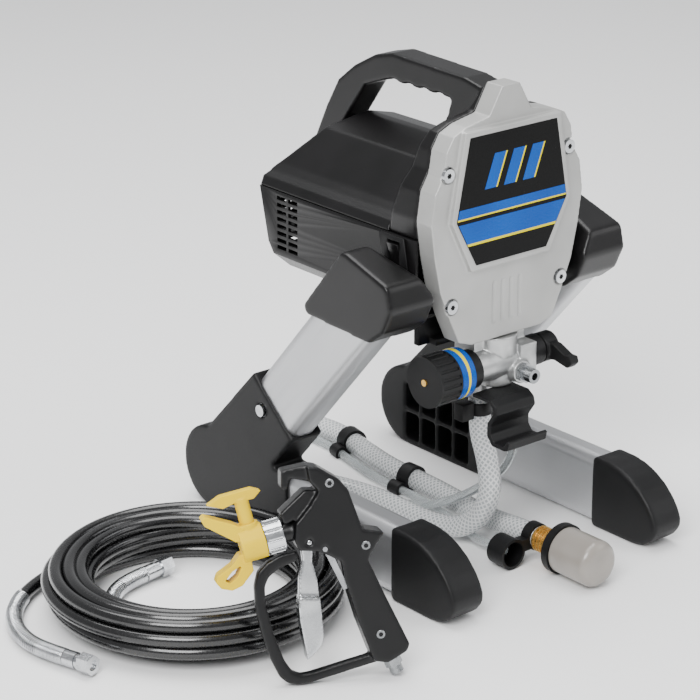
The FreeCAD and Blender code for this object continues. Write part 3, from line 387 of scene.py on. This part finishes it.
def two_shades(tree, mask, dark, light):
    node = tree.nodes.new("ShaderNodeMix")
    node.data_type = "RGBA"
    node.inputs["A"].default_value = dark
    node.inputs["B"].default_value = light
    link(tree, mask, node.inputs["Factor"])
    return node.outputs["Result"]


def finish(name, dark, light, rough, metallic=0.0, grain=None, cloud=None, coat=0.0, bump=0.1,
           grain_scale=900.0, cloud_scale=18.0, coat_rough=0.08, specular=0.5):
    """Material with a cloudy shade, a varying roughness and a fine bump."""
    material = bpy.data.materials.new(name)
    material.use_nodes = True
    tree = material.node_tree
    shader = tree.nodes["Principled BSDF"]
    shader.inputs["Metallic"].default_value = metallic
    shader.inputs["Coat Weight"].default_value = coat
    shader.inputs["Coat Roughness"].default_value = coat_rough
    shader.inputs["Specular IOR Level"].default_value = specular
    shades = group_node(tree, cloud or CLOUD, cloud_scale)
    link(tree, two_shades(tree, spread(tree, shades.outputs["Value"], 0, 1), colour(dark), colour(light)),
         shader.inputs["Base Color"])
    relief = group_node(tree, grain or GRAIN, grain_scale)
    link(tree, spread(tree, relief.outputs["Value"], rough[0], rough[1]), shader.inputs["Roughness"])
    lift = tree.nodes.new("ShaderNodeBump")
    lift.inputs["Strength"].default_value = bump
    lift.inputs["Distance"].default_value = 0.0004
    link(tree, relief.outputs["Value"], lift.inputs["Height"])
    link(tree, lift.outputs["Normal"], shader.inputs["Normal"])
    return material


# %% Finishes of the stand, the body, the gun and the fittings
BLACK_MOULDED = finish("black_moulded_plastic", "#0a0a0b", "#121213", (0.42, 0.56), bump=0.25,
                       grain_scale=1400, specular=0.28)
BLACK_SATIN = finish("black_satin_plastic", "#090909", "#111011", (0.28, 0.38), bump=0.06, grain_scale=900,
                     specular=0.34)
# Gloss black for the label plate; the same black is also painted shade in the screw sockets.
GLOSS_BLACK_AND_SOCKET_SHADE = finish("gloss_black_and_socket_shade", "#020202", "#040404", (0.22, 0.28), bump=0.0, specular=0.12)
RAIL_ALUMINIUM = finish("rail_aluminium", "#c3c4c6", "#cdced0", (0.36, 0.44), 0.9, RAIL_STREAKS, bump=0.02,
                        grain_scale=500, cloud_scale=9)
LEG_ALUMINIUM = finish("leg_aluminium", "#c3c4c6", "#cdced0", (0.36, 0.44), 0.9, LEG_STREAKS, bump=0.02,
                       grain_scale=500, cloud_scale=9)
COVER_GREY = finish("silver_grey_cover", "#a3a3a1", "#afafad", (0.36, 0.46), 0.35, bump=0.1, grain_scale=2200,
                    coat=0.2)
ZINC = finish("zinc_plated_steel", "#b4b6b9", "#d3d5d7", (0.16, 0.28), 1.0, bump=0.04, cloud_scale=60)
DARK_STEEL = finish("machined_steel", "#8c8f91", "#abadaf", (0.22, 0.36), 1.0, bump=0.04, cloud_scale=60)
CHROME = finish("chromed_nut", "#c6c8ca", "#dcdee0", (0.10, 0.18), 1.0, bump=0.02, cloud_scale=60)
PUMP_METAL = finish("cast_pump_metal", "#a7a8a8", "#c4c5c4", (0.30, 0.46), 0.85, bump=0.3, grain_scale=700,
                    cloud_scale=45)
BRASS = finish("machined_brass", "#d3a24c", "#e6bd6b", (0.24, 0.34), 0.9, bump=0.0, cloud_scale=80)
HOSE_RUBBER = finish("black_hose_cover", "#050506", "#0a0a0b", (0.20, 0.30), bump=0.04, grain_scale=500,
                     coat=0.5)
GUN_COAT = finish("gun_powder_coat", "#060607", "#0c0c0d", (0.30, 0.42), bump=0.15, grain_scale=1000,
                  specular=0.35)
TRIGGER_METAL = finish("polished_trigger", "#b9bbbd", "#d5d7d8", (0.16, 0.28), 1.0, bump=0.04, cloud_scale=40)
TIP_YELLOW = finish("yellow_moulded_tip", "#d8b400", "#e2c000", (0.36, 0.48), bump=0.1, grain_scale=1300,
                    specular=0.2)
LABEL_BLUE = finish("label_blue", "#04489c", "#0550a8", (0.25, 0.3), bump=0.0, specular=0.12)
LABEL_YELLOW = finish("label_yellow", "#dcca00", "#e4d400", (0.25, 0.3), bump=0.0, specular=0.12)
BOARD_GREEN = finish("circuit_board", "#1f4a30", "#2f6040", (0.4, 0.55))
WOUND_COPPER = finish("rotor_laminations", "#4d4038", "#7c6250", (0.3, 0.5), 0.8, cloud_scale=120)
FAN_IVORY = finish("fan_ivory", "#bdb7aa", "#d3cdc1", (0.4, 0.5))
print(len(bpy.data.materials), "finishes")

# %% [markdown]
# The suction hose is clear vinyl over a white braid. The braid is two sets of diagonal threads, made from the
# tube's own UV map, so that they wind around it. The vinyl and the smoke-coloured strainer let light through.

# %% Braid and clear plastics
def braid_group():
    """Threads that cross at right angles, from the UV map in metres: 1 on a thread, 0 between them."""
    group, entry, leave = new_group("braid", [("Threads", 1200.0)], ["Value"])
    place = group.nodes.new("ShaderNodeUVMap")
    place.uv_map = "along"
    parts = group.nodes.new("ShaderNodeSeparateXYZ")
    link(group, place.outputs["UV"], parts.inputs["Vector"])
    waves = []
    for operation in ("ADD", "SUBTRACT"):
        cross = group.nodes.new("ShaderNodeMath")
        cross.operation = operation
        link(group, parts.outputs["X"], cross.inputs[0])
        link(group, parts.outputs["Y"], cross.inputs[1])
        scaled = group.nodes.new("ShaderNodeMath")
        scaled.operation = "MULTIPLY"
        link(group, cross.outputs[0], scaled.inputs[0])
        link(group, entry.outputs["Threads"], scaled.inputs[1])
        wave = group.nodes.new("ShaderNodeMath")
        wave.operation = "SINE"
        link(group, scaled.outputs[0], wave.inputs[0])
        waves.append(wave)
    highest = group.nodes.new("ShaderNodeMath")
    highest.operation = "MAXIMUM"
    link(group, waves[0].outputs[0], highest.inputs[0])
    link(group, waves[1].outputs[0], highest.inputs[1])
    link(group, spread(group, highest.outputs[0], 0, 1, 0.1, 0.75), leave.inputs["Value"])
    return group


def clear_plastic(name, dark, light, rough, transmission, ior=1.4, braid=None):
    """Material that lets light through; a braid lies in it as white threads."""
    material = finish(name, dark, light, rough, bump=0.02, coat=0.6, coat_rough=0.04)
    shader = material.node_tree.nodes["Principled BSDF"]
    shader.inputs["Transmission Weight"].default_value = transmission
    shader.inputs["IOR"].default_value = ior
    if braid:
        threads = material.node_tree.nodes.new("ShaderNodeGroup")
        threads.node_tree = braid
        link(material.node_tree, two_shades(material.node_tree, threads.outputs["Value"], colour(dark),
                                            colour(light)), shader.inputs["Base Color"])
    return material


BRAIDED_VINYL = clear_plastic("braided_vinyl", "#b4b9bb", "#f6f7f7", (0.10, 0.18), 0.4, 1.38, braid_group())
CLEAR_VINYL = clear_plastic("clear_vinyl", "#c6cccd", "#d9dedf", (0.06, 0.12), 0.7)
SMOKED_PLASTIC = clear_plastic("smoked_strainer", "#a39c94", "#b9b3ab", (0.28, 0.38), 0.4)

# %% [markdown]
# ## Rounding the CAD shapes
# The CAD shapes are exact but have knife edges. A moulded or cast piece is rounded all over, so its node is
# copied, its loose triangles are merged, and a voxel remesh followed by a little smoothing wears the edges
# round. A turned or pressed piece keeps its crisp shape and only gets a narrow bevel on its edges.

# %% Helpers for rounding
def pick(obj):
    """Make obj the only selected object and the active one."""
    bpy.ops.object.select_all(action="DESELECT")
    obj.select_set(True)
    bpy.context.view_layer.objects.active = obj


def merged_copy(node, name):
    """Copy of a CAD node with its triangles joined up."""
    copy = bpy.data.objects.new(name, frame["nodes"][node].data.copy())
    bpy.context.collection.objects.link(copy)
    copy.data.materials.clear()
    pick(copy)
    bpy.ops.object.mode_set(mode="EDIT")
    bpy.ops.mesh.select_all(action="SELECT")
    bpy.ops.mesh.remove_doubles(threshold=0.00002)
    bpy.ops.object.mode_set(mode="OBJECT")
    return copy


def apply_modifier(obj, kind, **settings):
    """Add a modifier with these settings and apply it."""
    pick(obj)
    modifier = obj.modifiers.new(kind.lower(), kind)
    for key, value in settings.items():
        setattr(modifier, key, value)
    bpy.ops.object.modifier_apply(modifier=modifier.name)


def dress(piece, node, material, body=None):
    """Let a piece stand for a CAD node, ride on its body and wear a material."""
    piece.data.materials.clear()
    piece.data.materials.append(material)
    home = body or next(b for b, nodes in frame["record"]["behaviour"]["bodies"].items() if node in nodes)
    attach(piece, home)
    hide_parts(node)


def moulded(node, material, voxel=1.2, smoothing=8):
    """Rounded version of a node: voxel remesh, then smoothing."""
    piece = merged_copy(node, node + "_moulded")
    apply_modifier(piece, "REMESH", mode="VOXEL", voxel_size=voxel / 1000)
    apply_modifier(piece, "SMOOTH", factor=0.5, iterations=smoothing)
    bpy.ops.object.shade_smooth()
    dress(piece, node, material)
    return piece


def crisp(node, material, width=0.5, angle=32):
    """Version of a node with narrow bevels on its sharp edges."""
    piece = merged_copy(node, node + "_crisp")
    pick(piece)
    bpy.ops.object.mode_set(mode="EDIT")
    bpy.ops.mesh.select_all(action="SELECT")
    bpy.ops.mesh.dissolve_limited(angle_limit=math.radians(1.0))
    bpy.ops.object.mode_set(mode="OBJECT")
    apply_modifier(piece, "BEVEL", width=width / 1000, segments=2, limit_method="ANGLE",
                   angle_limit=math.radians(angle), use_clamp_overlap=True)
    bpy.ops.object.shade_smooth_by_angle(angle=math.radians(35))
    dress(piece, node, material)
    return piece


def smooth_by_angle(obj, degrees=30):
    pick(obj)
    bpy.ops.object.shade_smooth_by_angle(angle=math.radians(degrees))


# %% [markdown]
# ## Stand
# The caps, knees and sockets are thick black mouldings with generous edges. The two floor rails and the two
# leg tubes are drawn aluminium and keep their CAD shape.

# %% Stand pieces
for side in ("left", "right"):
    moulded(f"end_cap_{side}", BLACK_MOULDED, 1.5, 22)
    moulded(f"knee_{side}", BLACK_MOULDED, 1.6, 6)
    moulded(f"leg_socket_{side}", BLACK_SATIN, 1.5, 20)
print("stand pieces done")

# %% Body pieces
moulded("motor_shroud", BLACK_SATIN, 1.3, 8)
moulded("handle_frame", BLACK_SATIN, 1.3, 10)
moulded("front_cover", COVER_GREY, 0.9, 2)
moulded("hook_clip", BLACK_MOULDED, 0.8, 4)
moulded("pump_manifold", PUMP_METAL, 0.8, 4)
moulded("prime_lever", BLACK_MOULDED, 0.7, 4)
for node in ("housing", "switch_bezel", "switch_rocker", "pump_bracket", "hose_clamp", "power_inlet"):
    crisp(node, BLACK_SATIN if node in ("housing", "switch_rocker") else BLACK_MOULDED, 0.8)
strainer_bowl = moulded("strainer_bowl", SMOKED_PLASTIC, 0.8, 5)
print("body pieces done")

# %% Gun pieces
moulded("gun_body", GUN_COAT, 0.9, 26)
moulded("trigger", TRIGGER_METAL, 0.6, 30)
brass_coupling = crisp("brass_coupling", BRASS, 0.15)
moulded("tip_guard", TIP_YELLOW, 0.6, 6)
moulded("spray_tip", TIP_YELLOW, 0.6, 5)
print("gun pieces done")

# %% [markdown]
# ## Printed sheets and painted socket shade
# The label carries plain bands and slanted bars. Each is a thin sheet: its outline is drawn once as a face,
# which is then pushed out by a fraction of a millimetre. The dark star on each cover screw's head is painted
# shade: a thin gloss black sheet, made the same way, stands in for the shadow inside the screw's socket.

# %% Thin sheets
def thin_sheet(name, outline, y, material, depth=0.12, body="stand"):
    """Sheet with an outline of (x, z), standing on the plane of a given y and facing the front."""
    sheet = mesh_object(name, [at(x, y, z) for x, z in outline], [tuple(range(len(outline)))])
    pick(sheet)
    bpy.ops.object.mode_set(mode="EDIT")
    bpy.ops.mesh.select_all(action="SELECT")
    bpy.ops.mesh.extrude_region_move(TRANSFORM_OT_translate={"value": (0, -depth / 1000, 0)})
    bpy.ops.mesh.select_all(action="SELECT")
    bpy.ops.mesh.normals_make_consistent(inside=False)
    bpy.ops.object.mode_set(mode="OBJECT")
    sheet.data.materials.append(material)
    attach(sheet, body)
    return sheet


LABEL_FACE = 11.0


def across_label(z):
    """Half width of the label at a height."""
    if z > 325:
        return 64 - (z - 325) * 14 / 72 - 0.6
    return 41 + (z - 283) * 23 / 42 - 0.6


for name, low, high, material in (("upper_band", 327.5, 335.5, LABEL_BLUE),
                                  ("upper_line", 326, 327.5, LABEL_YELLOW),
                                  ("lower_band", 304, 322.5, LABEL_BLUE),
                                  ("lower_line", 301.8, 304, LABEL_YELLOW)):
    wide_low, wide_high = across_label(low), across_label(high)
    thin_sheet("label_" + name, [(-wide_low, low), (wide_low, low), (wide_high, high), (-wide_high, high)],
               LABEL_FACE, material)
for k in range(3):
    x = -33 + 22 * k
    thin_sheet(f"label_bar_{k}", [(x, 349), (x + 13, 349), (x + 24, 379), (x + 11, 379)],
               LABEL_FACE, LABEL_BLUE)
    thin_sheet(f"label_bar_edge_{k}", [(x + 13, 349), (x + 14.6, 349), (x + 25.6, 379), (x + 24, 379)],
               LABEL_FACE, LABEL_YELLOW)
print("label sheets done")


LOBE = 0.18
SCREW_HEAD_FACE = 14.62


def star(x, z, radius):
    """Six-lobed outline about a point."""
    points = []
    for k in range(24):
        angle = 2 * math.pi * k / 24
        reach = radius * (1 + LOBE * math.cos(6 * angle))
        points.append((x + reach * math.cos(angle), z + reach * math.sin(angle)))
    return points


# Painted shade: a lobed gloss black sheet on each screw head stands for the shadow in its socket.
for k, (x, z) in enumerate(((-70, 367), (70, 367), (-64, 249), (64, 249))):
    thin_sheet(f"screw_socket_shade_{k}", star(x, z, 2.3), SCREW_HEAD_FACE, GLOSS_BLACK_AND_SOCKET_SHADE, 0.05)
print("screw sockets done")

# %% [markdown]
# A printed band runs around the skirt of the pressure knob and turns with it. It starts as an open strip
# about the knob's axis and is then given a thickness. A yellow wedge narrows along part of the band.

# %% Band of the pressure knob
KNOB_Y, KNOB_Z = 25.0, 183.0


def band_around(name, x0, x1, radius, material, start=0.0, sweep=360.0, widths=None, sides=96):
    """Strip about the knob's axis between two x values; widths (start, end) taper it about its middle."""
    rows, middle = [], (x0 + x1) / 2
    for k in range(sides + 1):
        gone = k / sides
        angle = math.radians(start + sweep * gone)
        half = (x1 - x0) / 2 if widths is None else (widths[0] + (widths[1] - widths[0]) * gone) / 2
        y, z = KNOB_Y + radius * math.cos(angle), KNOB_Z + radius * math.sin(angle)
        rows.append((at(middle - half, y, z), at(middle + half, y, z)))
    vertices = [point for row in rows for point in row]
    faces = [(2 * k, 2 * k + 2, 2 * k + 3, 2 * k + 1) for k in range(sides)]
    strip = mesh_object(name, vertices, faces)
    pick(strip)
    bpy.ops.object.mode_set(mode="EDIT")
    bpy.ops.mesh.select_all(action="SELECT")
    bpy.ops.mesh.remove_doubles(threshold=0.00001)
    bpy.ops.mesh.normals_make_consistent(inside=False)
    bpy.ops.object.mode_set(mode="OBJECT")
    apply_modifier(strip, "SOLIDIFY", thickness=0.0003, offset=-1.0)
    smooth_by_angle(strip, 35)
    strip.data.materials.append(material)
    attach(strip, "knob")
    return strip


band_around("knob_band", -61.2, -46.2, 22.42, LABEL_BLUE)
band_around("knob_wedge", -57.5, -49.5, 22.60, LABEL_YELLOW, 60, 200, (4.5, 1.2))
print("knob band done")

# %% [markdown]
# Three star screws sit in the flank of the gun. Each is a disc with a chamfered rim and a lobed socket. The
# gun's own plane leans backwards and is turned on the floor, so one helper turns its points into the model's.

# %% Gun screws
GUN_HEEL = (-297.0, -64.0, 1.05)
GUN_FRAME = (Matrix.Rotation(math.radians(-28.4), 4, "Z") @ Matrix.Rotation(math.radians(78.0), 4, "X")
             @ Matrix.Rotation(math.radians(-6.0), 4, "Z"))


def gun_at(u, v, w):
    """Point of the gun's own plane: u to the right, v up, w towards the front."""
    return at(*GUN_HEEL) + GUN_FRAME @ Vector((u / 1000, v / 1000, w / 1000))


def gun_disc(name, u, v, w, rings, material, sides=24):
    """Disc on the gun's flank from rings of (radius, height, lobe depth), with a face on both ends."""
    vertices, faces = [], []
    for radius, height, lobe in rings:
        for k in range(sides):
            angle = 2 * math.pi * k / sides
            reach = radius * (1 + lobe * math.cos(6 * angle))
            vertices.append(gun_at(u + reach * math.cos(angle), v + reach * math.sin(angle), w + height))
    for ring in range(len(rings) - 1):
        for k in range(sides):
            a, b = ring * sides + k, ring * sides + (k + 1) % sides
            faces.append((a, b, b + sides, a + sides))
    faces.append(tuple(reversed(range(sides))))
    faces.append(tuple(range((len(rings) - 1) * sides, len(rings) * sides)))
    disc = mesh_object(name, vertices, faces)
    smooth_by_angle(disc, 30)
    disc.data.materials.append(material)
    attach(disc, "gun")
    return disc


SCREW_RINGS = ((3.6, 0, 0), (3.6, 0.9, 0), (3.2, 1.3, 0), (1.9, 1.3, 0), (1.7, 0.3, LOBE))
SCREW_SEAT = 12.4
for k, (u, v) in enumerate(((12, 168), (45, 118), (62, 45))):
    gun_disc(f"gun_screw_{k}", u, v, SCREW_SEAT, SCREW_RINGS, DARK_STEEL)
print("gun screws done")

# %% [markdown]
# ## Finishes of the pieces that keep their CAD shape

# %% Node finishes
NODE_FINISH = {
    LEG_ALUMINIUM: ("leg_tube_left", "leg_tube_right"),
    RAIL_ALUMINIUM: ("floor_rail_left", "floor_rail_right"),
    ZINC: ("leg_button_left", "leg_button_right", "cover_screws", "hose_stems", "swivel_nut_outer",
           "swivel_nut_inner", "trigger_lock"),
    DARK_STEEL: ("motor_can", "crank_gear", "piston_rod", "inlet_seat", "inlet_ball", "outlet_fitting",
                 "needle", "gun_inlet"),
    BLACK_MOULDED: ("knob_collar", "pressure_knob", "valve_body", "hose_clips", "end_clip", "strainer_ring"),
    GLOSS_BLACK_AND_SOCKET_SHADE: ("label_plate",),
    CHROME: ("gun_nut",),
    BRASS: ("knob_screw",),
    BOARD_GREEN: ("control_board",),
    WOUND_COPPER: ("armature",),
    FAN_IVORY: ("cooling_fan",),
}


def wear(node, material):
    """Give a CAD node this material in every slot."""
    data = frame["nodes"][node].data
    if not data.materials:
        data.materials.append(material)
    for k in range(len(data.materials)):
        data.materials[k] = material


for material, nodes in NODE_FINISH.items():
    for node in nodes:
        wear(node, material)

# %% Hoses join the model
suction_hose.data.materials.append(BRAIDED_VINYL)
drain_tube.data.materials.append(CLEAR_VINYL)
pressure_hose.data.materials.append(HOSE_RUBBER)
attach(suction_hose, "stand")
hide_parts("suction_hose")
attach(drain_tube, "stand")
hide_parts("drain_tube")
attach(pressure_hose, "stand")
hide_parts("hose_coil", "hose_tails")
for guard in guards:
    guard.data.materials.append(ZINC)
    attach(guard, "stand")
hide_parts("spring_guards")
nodes = frame["nodes"]

# %% [markdown]
# ## Studio
# The floor is a plain pale sheet, wide enough to reach the edges of the view. Three large soft lights and a
# pale world keep the shadows gentle.

# %% Floor and lights
bpy.ops.object.select_all(action="DESELECT")
bpy.ops.mesh.primitive_plane_add(size=12, location=(0, 0, -0.0002))
floor = bpy.context.active_object
floor.name = "studio_floor"
floor_paint = bpy.data.materials.new("pale_floor")
floor_paint.use_nodes = True
floor_paint.node_tree.nodes["Principled BSDF"].inputs["Base Color"].default_value = (0.93, 0.93, 0.93, 1)
floor_paint.node_tree.nodes["Principled BSDF"].inputs["Roughness"].default_value = 0.75
floor.data.materials.append(floor_paint)


def soft_light(name, place, aim, size, power):
    data = bpy.data.lights.new(name, "AREA")
    data.shape = "SQUARE"
    data.size = size
    data.energy = power
    lamp = bpy.data.objects.new(name, data)
    bpy.context.collection.objects.link(lamp)
    lamp.location = place
    lamp.rotation_euler = (Vector(aim) - Vector(place)).to_track_quat("-Z", "Y").to_euler()
    return lamp


soft_light("key_light", (-1.9, -1.2, 2.1), (0, 0, 0.15), 1.5, 105)
soft_light("fill_light", (1.9, -1.9, 1.5), (0, 0, 0.15), 1.8, 22)
soft_light("top_light", (0.1, 0.5, 2.6), (0, 0, 0.1), 2.2, 85)
world = bpy.data.worlds.new("studio")
world.use_nodes = True
world.node_tree.nodes["Background"].inputs["Color"].default_value = (0.93, 0.94, 0.96, 1)
world.node_tree.nodes["Background"].inputs["Strength"].default_value = 0.55
bpy.context.scene.world = world

# %% The end
import json

bpy.context.view_layer.update()
